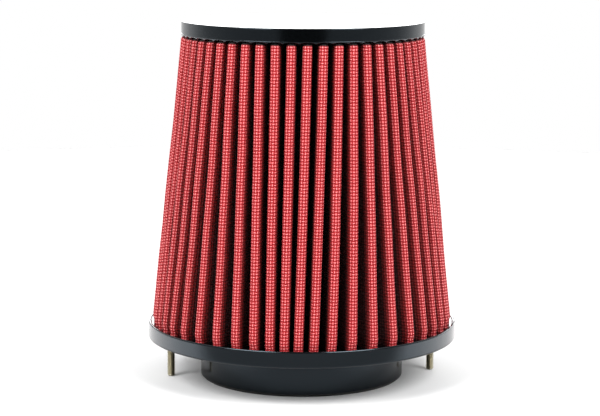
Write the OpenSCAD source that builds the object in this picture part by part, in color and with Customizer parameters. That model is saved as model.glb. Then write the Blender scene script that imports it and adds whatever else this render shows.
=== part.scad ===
// Conical performance air filter: a pleated cone of woven filter cloth, potted
// at its ends in a moulded base with a hose neck and a moulded top cap.
// Millimetres, Z up, the neck's mouth at z = 0 and the cone's axis on Z.

/* [Base] */
// Outside diameter of the base flange
base_d = 152; // [140:1:170]
// Height of the flange wall, from its underside to the top of the lip
flange_h = 8; // [7:0.5:12]
// Thickness of the flange between its underside and the floor of the pleat channel
floor_t = 3.5; // [3:0.1:5]
// Thickness of the lip that stands round the pleats
lip_t = 1.3; // [0.8:0.1:3]
// Radius on the lower outside edge of the flange
flange_edge_r = 1; // [0.5:0.1:2]
// Inside diameter of the hose neck
bore_d = 89; // [76:0.5:92]
// Wall of the hose neck
neck_wall = 5.5; // [3:0.5:7]
// Length of the hose neck below the flange
neck_h = 20; // [14:1:40]
// Bevel round the outside of the neck's mouth
neck_bevel = 0.8; // [0.2:0.1:2]
// Bevel round the inside of the neck's mouth
bore_bevel = 0.5; // [0.2:0.1:1.5]
// Fillet where the neck meets the flange
neck_root_r = 1.5; // [0.5:0.1:3]
// Radius of the rounded air entry at the top of the bore
bell_r = 9; // [4:0.5:10]

/* [Pleats] */
// Number of pleats
pleat_count = 50; // [40:1:54]
// Depth of a pleat, from its outer fold to its inner fold
pleat_depth = 16; // [12:0.5:17]
// Height of the pleats that shows between the lip and the cap
pleat_h = 141; // [60:1:200]
// Thickness of the folded sheet
sheet_t = 1.2; // [0.8:0.1:1.4]
// Width across an outer fold
fold_w = 4.4; // [3.6:0.1:4.6]
// Width across an inner fold
inner_fold_w = 3.2; // [3:0.1:3.4]
// How far below the cap's edge the outer folds start to bend in
squeeze_h = 2.4; // [1:0.1:5]

/* [Cap] */
// Outside diameter of the top cap
cap_d = 118.2; // [112:0.2:124]
// Height of the cap's side wall
cap_h = 6.4; // [6:0.1:12]
// How deep the pleats sit in the cap
cap_seat = 4; // [2.5:0.1:4.2]
// Thickness of the cap's skirt round the ends of the pleats
skirt_t = 1.6; // [1.2:0.1:3]
// Thickness of the cap's middle under the disc
plug_t = 4.4; // [2:0.1:4.6]
// Width and depth of the collar inside the ring of pleats
collar_w = 3; // [2:0.5:6]
// How far the collar reaches below the cap's edge
collar_drop = 1.5; // [0:0.5:6]
// Small radius on the cap's upper and lower edges
cap_edge_r = 0.4; // [0.2:0.1:0.8]

/* [Top disc] */
// Diameter of the polished disc
disc_d = 106.4; // [60:0.2:110]
// Thickness of the disc
disc_t = 1; // [0.6:0.1:1.2]
// How far the disc stands above the cap
disc_proud = 0.2; // [0:0.1:0.5]
// Open groove round the disc
disc_groove = 0.6; // [0.3:0.1:1]

/* [Studs] */
// Diameter of a stud
stud_d = 4; // [3:0.5:6]
// Distance of a stud's axis from the flange's outside
stud_inset = 11; // [9:0.5:13]
// Length of a stud below the flange
stud_out = 19.8; // [8:0.1:40]
// Diameter of the head moulded into the flange
stud_head_d = 12; // [8:0.5:14]
// Thickness of that head
stud_head_t = 1.2; // [0.8:0.1:1.4]
// How much the plain collar under the head is wider than the stud, on each side
stud_collar_w = 0.5; // [0.3:0.1:1]
// Rubber between the head and the flange's underside
stud_head_lift = 1.1; // [0.8:0.1:1.2]
// Bevel on the end of a stud
stud_bevel = 0.5; // [0.2:0.1:0.8]

/* [Fits] */
// Side clearance between the folds and the grooves that hold them
seat_gap = 0.15; // [0.1:0.05:0.3]
// Side clearance round a moulded-in stud
stud_gap = 0.05; // [0.03:0.01:0.1]

/* [Hidden] */
$fn = 128;

black = [0.14, 0.15, 0.16];
red = [0.78, 0.2, 0.24];
polished = [0.9, 0.9, 0.92];
plated = [0.66, 0.64, 0.54];

// Heights, from the floor up
lip_z = neck_h + flange_h;
seat_z = neck_h + floor_t;
edge_z = lip_z + pleat_h;
media_top_z = edge_z + cap_seat;
top_z = edge_z + cap_h;
disc_seat_z = top_z + disc_proud - disc_t;

// Radii
base_r = base_d / 2;
bore_r = bore_d / 2;
neck_r = bore_r + neck_wall;
cap_r = cap_d / 2;
disc_r = disc_d / 2;
stud_x = base_r - stud_inset;
fold_r = fold_w / 2;
inner_fold_r = inner_fold_w / 2;

// The outer folds lie on a cone from inside the lip to the cap's side wall
media_base_r = base_r - lip_t - seat_gap;
function cone_r(z) = media_base_r + (cap_r - media_base_r) * (z - seat_z) / (edge_z - seat_z);
function inner_cone_r(z) = cone_r(z) - pleat_depth;

// Above squeeze_z the outer folds bend in, to stand upright inside the cap's skirt
squeeze_z = edge_z - squeeze_h;
squeezed_r = cap_r - skirt_t - seat_gap;
function folds_r(z) = z <= squeeze_z
    ? cone_r(z)
    : cone_r(squeeze_z)
        + (squeezed_r - cone_r(squeeze_z)) * min(1, (z - squeeze_z) / squeeze_h);

// The pleats are folded by hand, so they drift from even spacing in slow waves.
// Each wave is [degrees, waves round the cone, phase], at the base and at the cap.
front_angle = -97;
pleat_pitch = 360 / pleat_count;
base_waves = [[1.9, 2, 170], [2.8, 4, -94], [1, 6, -134]];
cap_waves = [[1.3, 1, -95], [1.2, 3, 67]];
base_turn = 1.4;
cap_turn = 1.8;

// Points along one fold, and the number of facets that round it
tip_facets = 6;
valley_facets = 3;
fold_points = tip_facets + valley_facets + 2;

function polar(r, a) = r * [cos(a), sin(a)];
function bearing(v) = atan2(v.y, v.x);
function sum(v, i = 0) = i < len(v) ? v[i] + sum(v, i + 1) : 0;

// Turns an angle into one between -180 and 180 as seen from another
function seen_from(a, ref) = (a - ref + 1260) % 360 - 180;

// Points on an arc about a centre, both ends included
function arc(centre, r, from, to, facets = 5) =
    [for (i = [0 : facets]) centre + polar(r, from + (to - from) * i / facets)];

function drift(waves, k) =
    sum([for (w = waves) w[0] * cos(w[1] * pleat_pitch * k - w[2])]);

// Bearing of outer fold k, where up is 0 at the base and 1 at the cap's edge
function tip_angle(k, up) =
    front_angle + pleat_pitch * k
    + (1 - up) * (base_turn + drift(base_waves, k))
    + up * (cap_turn + drift(cap_waves, k));
function valley_angle(k, up) = (tip_angle(k, up) + tip_angle(k + 1, up)) / 2;

// Centres of the folds' rounds, at a height where the sheet spans r_in to r_out
function tip_centre(k, up, r_out) = polar(r_out - fold_r, tip_angle(k, up));
function valley_centre(k, up, r_in) = polar(r_in + inner_fold_r, valley_angle(k, up));

// Direction square to a flank, which runs from a tip's round to the far side of a
// valley's. The side is 1 for the valley after the tip and -1 for the one before.
function flank_normal(tip, valley, side) =
    bearing(valley - tip)
    - side * acos((fold_r + inner_fold_r - sheet_t) / norm(valley - tip));

// One pleat's points on one face of the sheet, round the tip and then the valley
function pleat(k, up, r_out, r_in, tip_round, valley_round) =
    let (
        tip = tip_centre(k, up, r_out),
        next_tip = tip_centre(k + 1, up, r_out),
        last_valley = valley_centre(k - 1, up, r_in),
        valley = valley_centre(k, up, r_in),
        out = tip_angle(k, up),
        inwards = valley_angle(k, up) + 180,
        before = seen_from(flank_normal(tip, last_valley, -1), out),
        after = seen_from(flank_normal(tip, valley, 1), out),
        down = seen_from(flank_normal(tip, valley, 1) + 180, inwards),
        back_up = seen_from(flank_normal(next_tip, valley, -1) + 180, inwards)
    )
    concat(
        arc(tip, tip_round, out + before, out + after, tip_facets),
        arc(valley, valley_round, inwards + down, inwards + back_up, valley_facets)
    );

// The closed outline of the outside or the inside of the sheet at height z
function outline(z, outside) =
    let (up = (z - seat_z) / (edge_z - seat_z))
    [
        for (k = [0 : pleat_count - 1])
            for (p = outside
                ? pleat(k, up, folds_r(z), inner_cone_r(z), fold_r, inner_fold_r - sheet_t)
                : pleat(k, up, folds_r(z), inner_cone_r(z), fold_r - sheet_t, inner_fold_r))
                [p.x, p.y, z]
    ];

module pleated_media() {
    levels = [seat_z, squeeze_z, edge_z, media_top_z];
    n = pleat_count * fold_points;
    top = len(levels) - 1;
    points = [for (z = levels) each concat(outline(z, true), outline(z, false))];
    function outer(level, i) = level * 2 * n + i % n;
    function inner(level, i) = outer(level, i) + n;
    walls = [
        for (level = [0 : top - 1])
            for (i = [0 : n - 1])
                each [
                    [outer(level, i), outer(level + 1, i), outer(level + 1, i + 1), outer(level, i + 1)],
                    [inner(level, i), inner(level, i + 1), inner(level + 1, i + 1), inner(level + 1, i)]
                ]
    ];
    ends = [
        for (i = [0 : n - 1])
            each [
                [outer(0, i), outer(0, i + 1), inner(0, i + 1), inner(0, i)],
                [outer(top, i), inner(top, i), inner(top, i + 1), outer(top, i + 1)]
            ]
    ];
    color(red) polyhedron(points = points, faces = concat(walls, ends), convexity = 20);
}

// Section of the base: neck, flange, lip, pleat channel and rounded air entry
function base_section() =
    concat(
        [
            [bore_r + bore_bevel, 0],
            [neck_r - neck_bevel, 0],
            [neck_r, neck_bevel]
        ],
        arc([neck_r + neck_root_r, neck_h - neck_root_r], neck_root_r, 180, 90),
        arc([base_r - flange_edge_r, neck_h + flange_edge_r], flange_edge_r, -90, 0),
        arc([base_r - lip_t / 2, lip_z - lip_t / 2], lip_t / 2, 0, 180, 8),
        [
            [base_r - lip_t, seat_z],
            [inner_cone_r(seat_z) - seat_gap, seat_z],
            [inner_cone_r(lip_z) - seat_gap, lip_z]
        ],
        arc([bore_r + bell_r, lip_z - bell_r], bell_r, 90, 180, 8),
        [[bore_r, bore_bevel]]
    );

module base() {
    color(black)
        difference() {
            rotate_extrude() polygon(base_section());
            for (side = [-1, 1])
                translate([side * stud_x, 0, 0]) stud_anchor(stud_gap);
        }
}

// Section of the cap: skirt, rim, disc pocket, middle, collar and pleat seat
function cap_section() =
    let (
        pocket_r = disc_r + disc_groove,
        collar_r = inner_cone_r(media_top_z) - seat_gap,
        plug_z = disc_seat_z - plug_t
    )
    concat(
        [
            [0, plug_z],
            [collar_r - collar_w, plug_z],
            [collar_r - collar_w, edge_z - collar_drop],
            [collar_r, edge_z - collar_drop],
            [collar_r, media_top_z],
            [cap_r - skirt_t, media_top_z],
            [cap_r - skirt_t, edge_z]
        ],
        arc([cap_r - cap_edge_r, edge_z + cap_edge_r], cap_edge_r, -90, 0, 3),
        arc([cap_r - cap_edge_r, top_z - cap_edge_r], cap_edge_r, 0, 90, 3),
        [
            [pocket_r, top_z],
            [pocket_r, disc_seat_z],
            [0, disc_seat_z]
        ]
    );

module top_cap() {
    color(black) rotate_extrude() polygon(cap_section());
}

module top_disc() {
    edge_r = disc_t / 2;
    color(polished)
        translate([0, 0, disc_seat_z])
            rotate_extrude()
                polygon(concat(
                    [[0, 0], [disc_r, 0]],
                    arc([disc_r - edge_r, disc_t - edge_r], edge_r, 0, 90, 4),
                    [[0, disc_t]]
                ));
}

// The head and collar of a stud, which the flange is moulded round
module stud_anchor(gap = 0) {
    translate([0, 0, neck_h + stud_head_lift])
        cylinder(h = stud_head_t, d = stud_head_d + 2 * gap);
    translate([0, 0, neck_h - gap])
        cylinder(h = gap + stud_head_lift + stud_head_t / 2, d = stud_d + 2 * (stud_collar_w + gap));
}

// One stud on the Z axis, hanging from the flange
module stud() {
    end_z = neck_h - stud_out;
    color(plated) {
        stud_anchor();
        translate([0, 0, end_z + stud_bevel]) cylinder(h = stud_out - stud_bevel, d = stud_d);
        translate([0, 0, end_z]) cylinder(h = stud_bevel, d1 = stud_d - 2 * stud_bevel, d2 = stud_d);
    }
}

module stud_left() {
    translate([-stud_x, 0, 0]) stud();
}

module stud_right() {
    translate([stud_x, 0, 0]) stud();
}

base();
pleated_media();
top_cap();
top_disc();
stud_left();
stud_right();
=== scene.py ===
import bisect
import cmath
import math
import random

import bmesh
import bpy
from mathutils import Euler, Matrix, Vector


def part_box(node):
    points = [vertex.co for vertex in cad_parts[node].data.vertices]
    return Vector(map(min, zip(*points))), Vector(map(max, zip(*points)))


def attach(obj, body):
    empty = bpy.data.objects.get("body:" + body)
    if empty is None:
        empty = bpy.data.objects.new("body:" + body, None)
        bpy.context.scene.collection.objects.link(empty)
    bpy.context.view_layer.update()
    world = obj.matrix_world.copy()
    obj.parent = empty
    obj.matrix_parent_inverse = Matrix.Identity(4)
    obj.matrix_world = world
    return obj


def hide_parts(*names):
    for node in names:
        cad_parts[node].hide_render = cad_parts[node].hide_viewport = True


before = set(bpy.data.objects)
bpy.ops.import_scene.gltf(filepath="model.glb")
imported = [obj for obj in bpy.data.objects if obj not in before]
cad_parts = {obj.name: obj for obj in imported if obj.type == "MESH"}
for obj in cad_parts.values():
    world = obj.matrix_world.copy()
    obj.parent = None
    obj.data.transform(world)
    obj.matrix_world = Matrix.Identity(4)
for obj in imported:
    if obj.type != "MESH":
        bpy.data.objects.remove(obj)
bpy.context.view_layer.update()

# Camera
# The photograph was taken with a long lens from about a metre away, a little above the cap.
camera_place = (-0.11965, -0.9658, 0.2372)
camera_down = 0.157
camera_aside = math.radians(7)
camera_roll = 0.0045
camera_data = bpy.data.cameras.new("camera")
camera_data.lens = 119.84
camera_data.sensor_width = 36
camera_data.clip_end = 20
camera = bpy.data.objects.new("camera", camera_data)
camera.location = camera_place
aim = Vector((
    math.sin(camera_aside) * math.cos(camera_down),
    math.cos(camera_aside) * math.cos(camera_down),
    -math.sin(camera_down),
))
camera.rotation_mode = "QUATERNION"
camera.rotation_quaternion = aim.to_track_quat("-Z", "Y") @ Euler((0, 0, camera_roll)).to_quaternion()
bpy.context.collection.objects.link(camera)
bpy.context.scene.camera = camera
bpy.context.scene.view_settings.view_transform = "Standard"

# White room
# Low white panels stand all round, with a dark gap between them where the camera looks through,
# and above them the room is dim in front. The camera sees plain white behind the object.
gap_light = 0.004
room = bpy.data.worlds.new("white_room")
room.use_nodes = True
bpy.context.scene.world = room
nodes = room.node_tree.nodes
links = room.node_tree.links
nodes.clear()
direction = nodes.new("ShaderNodeTexCoord")
level = nodes.new("ShaderNodeVectorMath")
level.operation = "MULTIPLY"
level.inputs[1].default_value = (1, 1, 0)
links.new(direction.outputs["Generated"], level.inputs[0])
heading = nodes.new("ShaderNodeVectorMath")
heading.operation = "NORMALIZE"
links.new(level.outputs[0], heading.inputs[0])
from_gap = nodes.new("ShaderNodeVectorMath")
from_gap.operation = "DOT_PRODUCT"
from_gap.inputs[1].default_value = (-math.sin(camera_aside), -math.cos(camera_aside), 0)
links.new(heading.outputs[0], from_gap.inputs[0])
round_room = nodes.new("ShaderNodeMapRange")
round_room.inputs["From Min"].default_value = 1
round_room.inputs["From Max"].default_value = -1
links.new(from_gap.outputs["Value"], round_room.inputs["Value"])
panel_light = ((0.0, gap_light), (0.025, gap_light), (0.045, 0.42), (0.3, 0.5), (0.6, 0.6), (0.8, 1.0))
upper_light = ((0.0, 0.1), (0.15, 0.14), (0.35, 0.3), (0.6, 0.6), (0.8, 1.0))
bands = []
for lights in (panel_light, upper_light):
    band = nodes.new("ShaderNodeValToRGB")
    while len(band.color_ramp.elements) < len(lights):
        band.color_ramp.elements.new(0.5)
    for stop, (place, light) in zip(band.color_ramp.elements, lights):
        stop.position = place
        stop.color = (light, light, light, 1)
    links.new(round_room.outputs[0], band.inputs[0])
    bands.append(band)
height = nodes.new("ShaderNodeSeparateXYZ")
links.new(direction.outputs["Generated"], height.inputs[0])
over_panels = nodes.new("ShaderNodeMapRange")
over_panels.inputs["From Min"].default_value = -0.05
over_panels.inputs["From Max"].default_value = 0.05
links.new(height.outputs["Z"], over_panels.inputs["Value"])
panels = nodes.new("ShaderNodeMix")
panels.data_type = "RGBA"
links.new(over_panels.outputs[0], panels.inputs["Factor"])
links.new(bands[0].outputs[0], panels.inputs["A"])
links.new(bands[1].outputs[0], panels.inputs["B"])
around = nodes.new("ShaderNodeBackground")
links.new(panels.outputs["Result"], around.inputs["Color"])
plain = nodes.new("ShaderNodeBackground")
plain.inputs["Color"].default_value = (1, 1, 1, 1)
seen = nodes.new("ShaderNodeLightPath")
choice = nodes.new("ShaderNodeMixShader")
links.new(seen.outputs["Is Camera Ray"], choice.inputs[0])
links.new(around.outputs[0], choice.inputs[1])
links.new(plain.outputs[0], choice.inputs[2])
room_out = nodes.new("ShaderNodeOutputWorld")
links.new(choice.outputs[0], room_out.inputs[0])

# Table
# A round white table top, which glows a little for the camera so that it runs into the white
# behind it and keeps only the object's soft shadow.
table_radius = 0.9
table_glow = 0.02
table_mesh = bmesh.new()
bmesh.ops.create_circle(table_mesh, cap_ends=True, radius=table_radius, segments=96)
table_data = bpy.data.meshes.new("table")
table_mesh.to_mesh(table_data)
table_mesh.free()
table = bpy.data.objects.new("table", table_data)
bpy.context.collection.objects.link(table)
table_white = bpy.data.materials.new("table_white")
table_white.use_nodes = True
nodes = table_white.node_tree.nodes
links = table_white.node_tree.links
nodes.clear()
seen = nodes.new("ShaderNodeLightPath")
place = nodes.new("ShaderNodeTexCoord")
to_front = nodes.new("ShaderNodeVectorMath")
to_front.operation = "DOT_PRODUCT"
to_front.inputs[1].default_value = (-math.sin(camera_aside), -math.cos(camera_aside), 0)
links.new(place.outputs["Object"], to_front.inputs[0])
# For reflections only, the table past the flange is painted brighter behind and beside the filter and
# darker in front: a painted pool of light that the flange and neck reflect.
gloss_painted_pool = nodes.new("ShaderNodeMapRange")
gloss_painted_pool.interpolation_type = "SMOOTHSTEP"
gloss_painted_pool.inputs["From Min"].default_value = 0.06
gloss_painted_pool.inputs["From Max"].default_value = 0.105
gloss_painted_pool.inputs["To Min"].default_value = 1.5
gloss_painted_pool.inputs["To Max"].default_value = 0.38
links.new(to_front.outputs["Value"], gloss_painted_pool.inputs["Value"])
from_axis = nodes.new("ShaderNodeVectorMath")
from_axis.operation = "LENGTH"
links.new(place.outputs["Object"], from_axis.inputs[0])
past_flange = nodes.new("ShaderNodeMapRange")
past_flange.inputs["From Min"].default_value = 0.095
past_flange.inputs["From Max"].default_value = 0.13
links.new(from_axis.outputs["Value"], past_flange.inputs["Value"])
table_painted_light = nodes.new("ShaderNodeMix")
table_painted_light.inputs["A"].default_value = 0.55
links.new(past_flange.outputs[0], table_painted_light.inputs["Factor"])
links.new(gloss_painted_pool.outputs[0], table_painted_light.inputs["B"])
in_gloss = nodes.new("ShaderNodeMix")
in_gloss.inputs["A"].default_value = 0.48
links.new(seen.outputs["Is Glossy Ray"], in_gloss.inputs["Factor"])
links.new(table_painted_light.outputs["Result"], in_gloss.inputs["B"])
paint = nodes.new("ShaderNodeMix")
paint.inputs["B"].default_value = 0.95
links.new(seen.outputs["Is Camera Ray"], paint.inputs["Factor"])
links.new(in_gloss.outputs["Result"], paint.inputs["A"])
matt = nodes.new("ShaderNodeBsdfDiffuse")
links.new(paint.outputs["Result"], matt.inputs["Color"])
glow = nodes.new("ShaderNodeMath")
glow.operation = "MULTIPLY"
glow.inputs[1].default_value = table_glow
links.new(seen.outputs["Is Camera Ray"], glow.inputs[0])
shine = nodes.new("ShaderNodeEmission")
shine.inputs["Color"].default_value = (1, 1, 1, 1)
links.new(glow.outputs[0], shine.inputs["Strength"])
both = nodes.new("ShaderNodeAddShader")
links.new(matt.outputs[0], both.inputs[0])
links.new(shine.outputs[0], both.inputs[1])
out = nodes.new("ShaderNodeOutputMaterial")
links.new(both.outputs[0], out.inputs[0])
table_data.materials.append(table_white)

# Lamps
# Soft boxes stand high on the left and on the right, and a strip behind gives the cap's rim
# its white line.
soft_boxes = (
    ("soft_box_left", (-0.85, -0.65, 0.95), 0.7, 0.7, 18),
    ("soft_box_right", (0.65, -0.85, 0.95), 0.7, 0.7, 18),
    ("strip_behind", (0.25, 2.1, 0.5), 1.3, 0.5, 9),
)
for name, place, width, height, power in soft_boxes:
    lamp_data = bpy.data.lights.new(name, "AREA")
    lamp_data.shape = "RECTANGLE"
    lamp_data.size = width
    lamp_data.size_y = height
    lamp_data.energy = power
    lamp = bpy.data.objects.new(name, lamp_data)
    lamp.location = place
    lamp.rotation_mode = "QUATERNION"
    to_filter = Vector((0, 0, 0.09)) - Vector(place)
    lamp.rotation_quaternion = to_filter.to_track_quat("-Z", "Y")
    bpy.context.collection.objects.link(lamp)

# Base
# One moulding of glossy black polyurethane rubber: the flange, its lip and the hose neck.
# It is poured into a polished mould, so its skin shines and only ripples a little.
rubber = bpy.data.materials.new("moulded_rubber")
rubber.use_nodes = True
nodes = rubber.node_tree.nodes
links = rubber.node_tree.links
skin = nodes["Principled BSDF"]
skin.inputs["Specular Tint"].default_value = (0.7, 0.86, 1, 1)
skin.inputs["IOR"].default_value = 1.5
place = nodes.new("ShaderNodeTexCoord")
height = nodes.new("ShaderNodeSeparateXYZ")
links.new(place.outputs["Object"], height.inputs[0])
# Below 1.6 mm the neck's foot turns a lighter olive and rougher: the colour is a painted reflection of
# the lit floor in the neck's bottom edge.
neck_foot_band = nodes.new("ShaderNodeMapRange")
neck_foot_band.inputs["From Min"].default_value = 0.0016
neck_foot_band.inputs["From Max"].default_value = 0.0008
links.new(height.outputs["Z"], neck_foot_band.inputs["Value"])
neck_foot_painted_reflection = nodes.new("ShaderNodeMix")
neck_foot_painted_reflection.data_type = "RGBA"
neck_foot_painted_reflection.inputs["A"].default_value = (0.001, 0.0012, 0.0014, 1)
neck_foot_painted_reflection.inputs["B"].default_value = (0.035, 0.03, 0.024, 1)
links.new(neck_foot_band.outputs[0], neck_foot_painted_reflection.inputs["Factor"])
links.new(neck_foot_painted_reflection.outputs["Result"], skin.inputs["Base Color"])
neck_foot_gloss = nodes.new("ShaderNodeMapRange")
neck_foot_gloss.inputs["To Min"].default_value = 0.16
neck_foot_gloss.inputs["To Max"].default_value = 0.5
links.new(neck_foot_band.outputs[0], neck_foot_gloss.inputs["Value"])
links.new(neck_foot_gloss.outputs[0], skin.inputs["Roughness"])
ripple = nodes.new("ShaderNodeTexNoise")
ripple.inputs["Scale"].default_value = 160
ripple.inputs["Detail"].default_value = 2
links.new(place.outputs["Object"], ripple.inputs["Vector"])
ripple_bump = nodes.new("ShaderNodeBump")
ripple_bump.inputs["Strength"].default_value = 0.12
ripple_bump.inputs["Distance"].default_value = 0.0004
links.new(ripple.outputs[0], ripple_bump.inputs["Height"])
links.new(ripple_bump.outputs[0], skin.inputs["Normal"])
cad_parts["base"].data.materials.clear()
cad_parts["base"].data.materials.append(rubber)

# Pleated media
# One sheet of red gauze pressed in open wire cloth, folded by hand into fifty pleats and
# closed into a cone. Its ends stand in the rubber of the base and of the cap.
pleat_count = 50
pleat_pitch = math.tau / pleat_count
pleat_depth = 0.016
sheet_thickness = 0.0012
tip_round = 0.0022
valley_round = 0.0004
base_low, base_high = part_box("base")
media_low, media_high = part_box("pleated_media")
cap_low, cap_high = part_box("top_cap")
lip_thickness = 0.0013
skirt_thickness = 0.0016
seat_gap = 0.00015
cap_collar_drop = 0.0015
bend_height = 0.0024
cap_edge = cap_low.z + cap_collar_drop
foot_radius = base_high.x - lip_thickness - seat_gap
head_radius = cap_high.x
bend_depth = skirt_thickness + seat_gap
foot_height = 0.003
foot_depth = 0.0008
front_turn = math.radians(-97)
base_waves = ((1.9, 2, 170), (2.8, 4, -94), (1, 6, -134))
cap_waves = ((1.3, 1, -95), (1.2, 3, 67))
base_turn = 1.4
cap_turn = 1.8
random.seed(4)
wobble = [(random.uniform(0, math.tau), random.uniform(0, math.tau)) for _ in range(pleat_count)]


def drift(turn, waves, fold):
    slow = (a * math.cos(n * pleat_pitch * fold - math.radians(phase)) for a, n, phase in waves)
    return math.radians(turn + sum(slow))


def tip_bearing(fold, up):
    low = drift(base_turn, base_waves, fold)
    high = drift(cap_turn, cap_waves, fold)
    return front_turn + pleat_pitch * fold + (1 - up) * low + up * high


def bend_in(z):
    share = min(1, max(0, (z - cap_edge + bend_height) / bend_height))
    return bend_depth * share * share * (3 - 2 * share)


def foot_in(z):
    share = min(1, max(0, (base_high.z + foot_height - z) / foot_height))
    return foot_depth * share * share * (3 - 2 * share)


def tip_reach(fold, z):
    up = (z - media_low.z) / (cap_edge - media_low.z)
    cone = foot_radius + (head_radius - foot_radius) * up
    first, second = wobble[fold % pleat_count]
    free = math.sin(math.pi * min(1, max(0, up)))
    ease = 0.00022 * math.sin(5 * up + first) + 0.00012 * math.sin(17 * up + second)
    return cone - bend_in(z) - foot_in(z) + free * (ease - 0.00018)


def arc(centre, radius, start, end, facets):
    return [centre + cmath.rect(radius, start + (end - start) * i / facets) for i in range(facets + 1)]


def bend_angle(tip, valley, side):
    reach = math.acos((tip_round + valley_round) / abs(valley - tip))
    return cmath.phase(valley - tip) - side * reach


def near(angle, reference):
    return reference + (angle - reference + math.pi) % math.tau - math.pi


tip_facets = 10
valley_facets = 4


def pleat_outline(fold, z):
    up = (z - media_low.z) / (cap_edge - media_low.z)
    inner = foot_radius + (head_radius - foot_radius) * up - pleat_depth + sheet_thickness + valley_round
    bearings = [tip_bearing(fold + k, up) for k in (-1, 0, 1)]
    tip = cmath.rect(tip_reach(fold, z) - tip_round, bearings[1])
    next_tip = cmath.rect(tip_reach(fold + 1, z) - tip_round, bearings[2])
    inwards = (bearings[1] + bearings[2]) / 2
    last_valley = cmath.rect(inner, (bearings[0] + bearings[1]) / 2)
    valley = cmath.rect(inner, inwards)
    start = near(bend_angle(tip, last_valley, -1), bearings[1])
    end = near(bend_angle(tip, valley, 1), bearings[1])
    down = near(bend_angle(tip, valley, 1) + math.pi, inwards + math.pi)
    back_up = near(bend_angle(next_tip, valley, -1) + math.pi, inwards + math.pi)
    tip_arc = arc(tip, tip_round, start, end, tip_facets)
    valley_arc = arc(valley, valley_round, down, back_up, valley_facets)
    return tip_arc + valley_arc


def ring_points(z):
    return [point for fold in range(pleat_count) for point in pleat_outline(fold, z)]


level_count = 22
straight_top = cap_edge - bend_height
heights = [media_low.z]
heights += [base_high.z + foot_height * i / 3 for i in range(4)]
foot_top = heights[-1]
heights += [foot_top + (straight_top - foot_top) * i / level_count for i in range(1, level_count + 1)]
heights += [straight_top + bend_height * i / 6 for i in range(1, 7)]
heights += [media_high.z]
media_mesh = bmesh.new()
index_layer = media_mesh.verts.layers.int.new("ring_index")
depth_layer = media_mesh.verts.layers.float.new("fold_depth")
first_ring = ring_points(heights[0])
ring_verts = [media_mesh.verts.new((p.real, p.imag, heights[0])) for p in first_ring]
for i, vert in enumerate(ring_verts):
    vert[index_layer] = i
    vert[depth_layer] = (foot_radius - abs(first_ring[i])) / pleat_depth
rim = [media_mesh.edges.new((ring_verts[i - 1], ring_verts[i])) for i in range(len(ring_verts))]
for z in heights[1:]:
    grown = bmesh.ops.extrude_edge_only(media_mesh, edges=rim)["geom"]
    rim = [item for item in grown if isinstance(item, bmesh.types.BMEdge)]
    points = ring_points(z)
    for vert in grown:
        if isinstance(vert, bmesh.types.BMVert):
            point = points[vert[index_layer]]
            vert.co = (point.real, point.imag, z)
bmesh.ops.recalc_face_normals(media_mesh, faces=media_mesh.faces)

# The weave follows the flat sheet: its width is measured along the folds at half height.
middle = ring_points((heights[0] + cap_edge) / 2)
widths = [0.0]
for i, point in enumerate(middle):
    widths.append(widths[-1] + abs(middle[(i + 1) % len(middle)] - point))
sheet_width = widths[-1]
uv_layer = media_mesh.loops.layers.uv.new("sheet")
last = len(middle) - 1
for face in media_mesh.faces:
    face.smooth = True
    closing = any(vert[index_layer] == last for vert in face.verts)
    for loop in face.loops:
        i = loop.vert[index_layer]
        width = widths[-1] if closing and i == 0 else widths[i]
        loop[uv_layer].uv = (width, loop.vert.co.z - media_low.z)
media_data = bpy.data.meshes.new("filter_cloth")
media_mesh.to_mesh(media_data)
media_mesh.free()
media = bpy.data.objects.new("filter_cloth", media_data)
bpy.context.collection.objects.link(media)
wall = media.modifiers.new("thickness", "SOLIDIFY")
wall.thickness = sheet_thickness
wall.offset = -1
wall.use_even_offset = True

weave_pitch = sheet_width / (2 * round(sheet_width / 0.00147 / 2))
cloth = bpy.data.materials.new("red_woven_cloth")
cloth.use_nodes = True
nodes = cloth.node_tree.nodes
links = cloth.node_tree.links


def maths(operation, *values):
    node = nodes.new("ShaderNodeMath")
    node.operation = operation
    for socket, value in zip(node.inputs, values):
        if isinstance(value, (int, float)):
            socket.default_value = value
        else:
            links.new(value, socket)
    return node.outputs[0]


def wire_height(across, along, sign):
    wire = maths("FLOOR", across)
    off_centre = maths("SUBTRACT", maths("FRACT", across), 0.5)
    round_top = maths("SUBTRACT", 1, maths("POWER", maths("DIVIDE", off_centre, wire_share), 2))
    round_top = maths("SQRT", maths("MAXIMUM", round_top, 0))
    swing = maths("COSINE", maths("MULTIPLY", math.pi, maths("ADD", maths("SUBTRACT", along, 0.5), wire)))
    lift = maths("MULTIPLY_ADD", swing, 0.45 * sign, 0.55)
    return maths("MULTIPLY", round_top, lift)


wire_share = 0.3
sheet_uv = nodes.new("ShaderNodeUVMap")
sheet_uv.uv_map = "sheet"
sheet_axes = nodes.new("ShaderNodeSeparateXYZ")
links.new(sheet_uv.outputs[0], sheet_axes.inputs[0])
warp_place = maths("DIVIDE", sheet_axes.outputs["X"], weave_pitch)
weft_place = maths("DIVIDE", sheet_axes.outputs["Y"], weave_pitch)
warp = wire_height(warp_place, weft_place, 1)
weft = wire_height(weft_place, warp_place, -1)
weave = maths("MAXIMUM", warp, weft)
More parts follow.
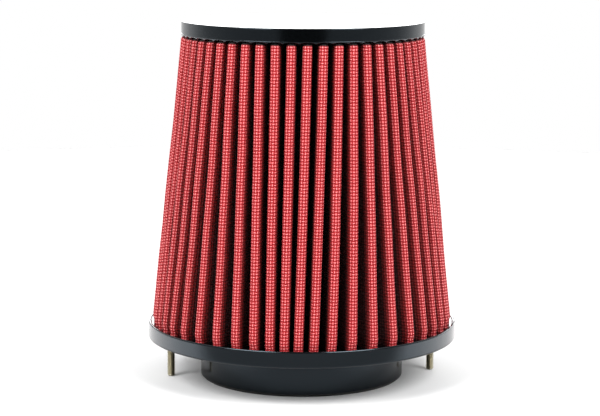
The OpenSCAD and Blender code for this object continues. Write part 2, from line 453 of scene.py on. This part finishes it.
# Red-coated wire over red gauze. The pink at the knuckle tops is a painted highlight, and the red
# darkening towards the gaps between the wires is painted shade.
weave_dye_and_highlight = nodes.new("ShaderNodeValToRGB")
weave_dye_and_highlight_steps = ((0.0, (0.28, 0.001, 0.003)), (0.45, (0.44, 0.008, 0.014)), (0.75, (0.72, 0.06, 0.07)),
             (0.97, (1.0, 0.34, 0.34)))
while len(weave_dye_and_highlight.color_ramp.elements) < len(weave_dye_and_highlight_steps):
    weave_dye_and_highlight.color_ramp.elements.new(0.5)
for stop, (height, colour) in zip(weave_dye_and_highlight.color_ramp.elements, weave_dye_and_highlight_steps):
    stop.position = height
    stop.color = (*colour, 1)
links.new(weave, weave_dye_and_highlight.inputs[0])
# The folds darken towards their valleys, nearly to black at a third of their depth: painted shade where
# little light reaches between the pleats.
fold_depth = nodes.new("ShaderNodeAttribute")
fold_depth.attribute_name = "fold_depth"
valley_painted_shade = nodes.new("ShaderNodeValToRGB")
valley_shade_steps = ((0.09, (1, 1, 1)), (0.17, (0.42, 0.06, 0.06)), (0.36, (0.05, 0.003, 0.003)))
while len(valley_painted_shade.color_ramp.elements) < len(valley_shade_steps):
    valley_painted_shade.color_ramp.elements.new(0.5)
for stop, (depth, colour) in zip(valley_painted_shade.color_ramp.elements, valley_shade_steps):
    stop.position = depth
    stop.color = (*colour, 1)
links.new(fold_depth.outputs["Fac"], valley_painted_shade.inputs[0])
valley_shading = nodes.new("ShaderNodeMix")
valley_shading.data_type = "RGBA"
valley_shading.blend_type = "MULTIPLY"
valley_shading.inputs["Factor"].default_value = 1
links.new(weave_dye_and_highlight.outputs[0], valley_shading.inputs["A"])
links.new(valley_painted_shade.outputs[0], valley_shading.inputs["B"])
place = nodes.new("ShaderNodeTexCoord")
height_axes = nodes.new("ShaderNodeSeparateXYZ")
links.new(place.outputs["Object"], height_axes.inputs[0])
# From 2.2 mm below the cap's edge the cloth fades to near black: painted shadow where the folds bend in
# under the cap.
cap_shadow_band = nodes.new("ShaderNodeMapRange")
cap_shadow_band.interpolation_type = "SMOOTHSTEP"
cap_shadow_band.inputs["From Min"].default_value = cap_edge - 0.0022
cap_shadow_band.inputs["From Max"].default_value = cap_edge - 0.0011
links.new(height_axes.outputs["Z"], cap_shadow_band.inputs["Value"])
cap_painted_shadow = nodes.new("ShaderNodeMix")
cap_painted_shadow.data_type = "RGBA"
links.new(cap_shadow_band.outputs[0], cap_painted_shadow.inputs["Factor"])
links.new(valley_shading.outputs["Result"], cap_painted_shadow.inputs["A"])
cap_painted_shadow.inputs["B"].default_value = (0.006, 0.0065, 0.007, 1)
surface = nodes["Principled BSDF"]
links.new(cap_painted_shadow.outputs["Result"], surface.inputs["Base Color"])
polish = nodes.new("ShaderNodeMapRange")
polish.inputs["From Min"].default_value = 0.2
polish.inputs["To Min"].default_value = 0.9
polish.inputs["To Max"].default_value = 0.36
links.new(weave, polish.inputs["Value"])
links.new(polish.outputs[0], surface.inputs["Roughness"])
surface.inputs["IOR"].default_value = 1.5
relief = nodes.new("ShaderNodeBump")
relief.inputs["Strength"].default_value = 0.9
relief.inputs["Distance"].default_value = 0.0004
links.new(weave, relief.inputs["Height"])
links.new(relief.outputs[0], surface.inputs["Normal"])
media_data.materials.append(cloth)
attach(media, "root")
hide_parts("pleated_media")

# Base filling
# Rubber that was poured round the feet of the folds. It stands a little below the lip and
# creeps up both walls. It is one casting with the base.
fill_drop = 0.0009
creep = 0.0003
lip_inside = base_high.x - lip_thickness
fill_inside = foot_radius - pleat_depth
fill_top = base_high.z - fill_drop
fill_section = (
    (fill_inside - 0.0003, media_low.z),
    (lip_inside + 0.0001, media_low.z),
    (lip_inside + 0.0001, fill_top + creep),
    (lip_inside - 0.0004, fill_top),
    (fill_inside + 0.0004, fill_top),
    (fill_inside - 0.0003, fill_top + creep),
)
fill_mesh = bmesh.new()
section = [fill_mesh.verts.new((out, 0, height)) for out, height in fill_section]
outline = [fill_mesh.edges.new((section[i - 1], section[i])) for i in range(len(section))]
bmesh.ops.spin(fill_mesh, geom=section + outline, cent=(0, 0, 0), axis=(0, 0, 1),
               angle=math.tau, steps=200, use_merge=True)
bmesh.ops.recalc_face_normals(fill_mesh, faces=fill_mesh.faces)
fill_data = bpy.data.meshes.new("base_filling")
fill_mesh.to_mesh(fill_data)
fill_mesh.free()
fill_data.materials.append(rubber)
fill = bpy.data.objects.new("base_filling", fill_data)
bpy.context.collection.objects.link(fill)
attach(fill, "root")

# Moulding flash
# A thin ragged skin of rubber stands on the lip at one side, where the mould halves didn't
# close. It was torn when the base came out of the mould.
flash_start = math.radians(-38)
flash_end = math.radians(-6)
flash_steps = 64
flash_thickness = 0.0004
flash_foot = base_high.z - 0.0003
flash_outside = base_high.x - 0.00005
flash_mesh = bmesh.new()
section = []
for out, height in ((0, flash_foot), (0, base_high.z), (-flash_thickness, base_high.z),
                    (-flash_thickness, flash_foot)):
    point = cmath.rect(flash_outside + out, flash_start)
    section.append(flash_mesh.verts.new((point.real, point.imag, height)))
outline = [flash_mesh.edges.new((section[i - 1], section[i])) for i in range(len(section))]
bmesh.ops.spin(flash_mesh, geom=section + outline, cent=(0, 0, 0), axis=(0, 0, 1),
               angle=flash_end - flash_start, steps=flash_steps)
open_edges = [line for line in flash_mesh.edges if line.is_boundary]
bmesh.ops.holes_fill(flash_mesh, edges=open_edges)
bmesh.ops.recalc_face_normals(flash_mesh, faces=flash_mesh.faces)
tear = [random.uniform(0.0001, 0.0011) for _ in range(flash_steps + 1)]
for vert in flash_mesh.verts:
    if vert.co.z > flash_foot + 0.0001:
        share = (math.atan2(vert.co.y, vert.co.x) - flash_start) / (flash_end - flash_start)
        step = round(share * flash_steps)
        vert.co.z += tear[step] * math.sin(math.pi * share) + 0.00005
flash_data = bpy.data.meshes.new("moulding_flash")
flash_mesh.to_mesh(flash_data)
flash_mesh.free()
flash_data.materials.append(rubber)
flash = bpy.data.objects.new("moulding_flash", flash_data)
bpy.context.collection.objects.link(flash)
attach(flash, "root")

# Top cap
# The second moulding of the same rubber, poured over the narrow ends of the pleats.
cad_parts["top_cap"].data.materials.clear()
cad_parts["top_cap"].data.materials.append(rubber)

# Cap edge
# When the cap was poured, rubber ran down between the folds and set there in small points,
# and the mould's parting line runs round the edge. It is one casting with the cap.
edge_section = (
    (-0.0004, 0.0007, 0),
    (0.00004, 0.00045, 0),
    (0.0002, 0.0003, 0),
    (0.00018, 0.00008, 0.1),
    (-0.00005, -0.0001, 0.4),
    (-0.00035, -0.0001, 1),
    (-0.0011, -0.0001, 0.9),
    (-0.0026, 0, 0.3),
    (-0.005, 0.0002, 0),
    (-0.005, 0.0007, 0),
)
point_drop = 0.0013
edge_mesh = bmesh.new()
hang_layer = edge_mesh.verts.layers.float.new("hang")
section = []
for outwards, up, hang in edge_section:
    vert = edge_mesh.verts.new((head_radius + outwards, 0, cap_edge + up))
    vert[hang_layer] = hang
    section.append(vert)
outline = [edge_mesh.edges.new((section[i - 1], section[i])) for i in range(len(section))]
bmesh.ops.spin(edge_mesh, geom=section + outline, cent=(0, 0, 0), axis=(0, 0, 1),
               angle=math.tau, steps=600, use_merge=True)
bmesh.ops.recalc_face_normals(edge_mesh, faces=edge_mesh.faces)
cap_tips = [tip_bearing(fold, 1) for fold in range(pleat_count + 1)]
for vert in edge_mesh.verts:
    bearing = (math.atan2(vert.co.y, vert.co.x) - cap_tips[0]) % math.tau + cap_tips[0]
    fold = min(pleat_count, bisect.bisect_right(cap_tips, bearing)) - 1
    between = (bearing - cap_tips[fold]) / (cap_tips[fold + 1] - cap_tips[fold])
    aside = min(1, 1 - abs(2 * between - 1))
    vert.co.z -= point_drop * vert[hang_layer] * (1 - math.sqrt(1 - aside * aside))
for face in edge_mesh.faces:
    face.smooth = True
edge_data = bpy.data.meshes.new("cap_edge")
edge_mesh.to_mesh(edge_data)
edge_mesh.free()
edge_data.materials.append(rubber)
edge = bpy.data.objects.new("cap_edge", edge_data)
bpy.context.collection.objects.link(edge)
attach(edge, "root")

# Top disc
# A disc punched from stainless steel, polished on a wheel and let into the cap.
steel = bpy.data.materials.new("polished_steel")
steel.use_nodes = True
nodes = steel.node_tree.nodes
links = steel.node_tree.links
mirror = nodes["Principled BSDF"]
mirror.inputs["Base Color"].default_value = (0.9, 0.9, 0.92, 1)
mirror.inputs["Metallic"].default_value = 1
mirror.inputs["Roughness"].default_value = 0.12
place = nodes.new("ShaderNodeTexCoord")
wheel_marks = nodes.new("ShaderNodeTexWave")
wheel_marks.wave_type = "RINGS"
wheel_marks.rings_direction = "Z"
wheel_marks.inputs["Scale"].default_value = 500
wheel_marks.inputs["Distortion"].default_value = 1.5
links.new(place.outputs["Object"], wheel_marks.inputs["Vector"])
mark_bump = nodes.new("ShaderNodeBump")
mark_bump.inputs["Strength"].default_value = 0.04
mark_bump.inputs["Distance"].default_value = 0.0002
links.new(wheel_marks.outputs["Fac"], mark_bump.inputs["Height"])
links.new(mark_bump.outputs[0], mirror.inputs["Normal"])
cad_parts["top_disc"].data.materials.clear()
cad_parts["top_disc"].data.materials.append(steel)

# Studs
# Two zinc-plated steel studs with a rolled M4 thread. Their round heads and collars are
# moulded into the flange.
thread_pitch = 0.0007
thread_depth = 0.0004
thread_radius = 0.002
turn_steps = 32
collar_radius = thread_radius + 0.0005
head_thickness = 0.0012
flange_underside = 0.02
zinc = bpy.data.materials.new("plated_steel")
zinc.use_nodes = True
nodes = zinc.node_tree.nodes
links = zinc.node_tree.links
plating = nodes["Principled BSDF"]
plating.inputs["Metallic"].default_value = 1
plating.inputs["Roughness"].default_value = 0.35
place = nodes.new("ShaderNodeTexCoord")
patches = nodes.new("ShaderNodeTexNoise")
patches.inputs["Scale"].default_value = 900
links.new(place.outputs["Object"], patches.inputs["Vector"])
plating_colour = nodes.new("ShaderNodeMix")
plating_colour.data_type = "RGBA"
plating_colour.inputs["A"].default_value = (0.62, 0.58, 0.46, 1)
plating_colour.inputs["B"].default_value = (0.5, 0.46, 0.34, 1)
links.new(patches.outputs[0], plating_colour.inputs["Factor"])
links.new(plating_colour.outputs["Result"], plating.inputs["Base Color"])
for node_name in ("stud_left", "stud_right"):
    stud_low, stud_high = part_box(node_name)
    head_under = stud_high.z - head_thickness
    stud_mesh = bmesh.new()
    row_count = 2 * math.ceil((head_under - stud_low.z) / thread_pitch + 4)
    rows = []
    for i in range(row_count):
        out = thread_radius - thread_depth * (i % 2)
        rows.append(stud_mesh.verts.new((out, 0, stud_low.z + thread_pitch * (i / 2 - 2))))
    chain = [stud_mesh.edges.new((rows[i], rows[i + 1])) for i in range(row_count - 1)]
    bmesh.ops.spin(stud_mesh, geom=rows + chain, cent=(0, 0, 0), axis=(0, 0, 1),
                   dvec=(0, 0, thread_pitch / turn_steps), angle=math.tau, steps=turn_steps)
    bmesh.ops.remove_doubles(stud_mesh, verts=stud_mesh.verts, dist=0.000001)
    for height, upwards in ((stud_low.z, 1), (head_under + 0.0002, -1)):
        everything = stud_mesh.verts[:] + stud_mesh.edges[:] + stud_mesh.faces[:]
        bmesh.ops.bisect_plane(stud_mesh, geom=everything, plane_co=(0, 0, height),
                               plane_no=(0, 0, upwards), clear_inner=True)
    open_edges = [line for line in stud_mesh.edges if line.is_boundary]
    bmesh.ops.holes_fill(stud_mesh, edges=open_edges)
    for vert in stud_mesh.verts:
        limit = 0.7 * thread_radius + vert.co.z - stud_low.z
        reach = math.hypot(vert.co.x, vert.co.y)
        if reach > limit:
            vert.co.xy *= limit / reach
    for radius, low, high in (
        (collar_radius, flange_underside, stud_high.z),
        ((stud_high.x - stud_low.x) / 2, head_under, stud_high.z),
    ):
        disc = bmesh.ops.create_cone(stud_mesh, cap_ends=True, segments=48, radius1=radius,
                                     radius2=radius, depth=high - low)
        bmesh.ops.translate(stud_mesh, verts=disc["verts"], vec=(0, 0, (low + high) / 2))
    bmesh.ops.recalc_face_normals(stud_mesh, faces=stud_mesh.faces)
    middle_x, middle_y = (stud_low.x + stud_high.x) / 2, (stud_low.y + stud_high.y) / 2
    bmesh.ops.translate(stud_mesh, verts=stud_mesh.verts, vec=(middle_x, middle_y, 0))
    stud_data = bpy.data.meshes.new("threaded_" + node_name)
    stud_mesh.to_mesh(stud_data)
    stud_mesh.free()
    stud_data.materials.append(zinc)
    stud = bpy.data.objects.new("threaded_" + node_name, stud_data)
    bpy.context.collection.objects.link(stud)
    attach(stud, "root")
    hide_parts(node_name)
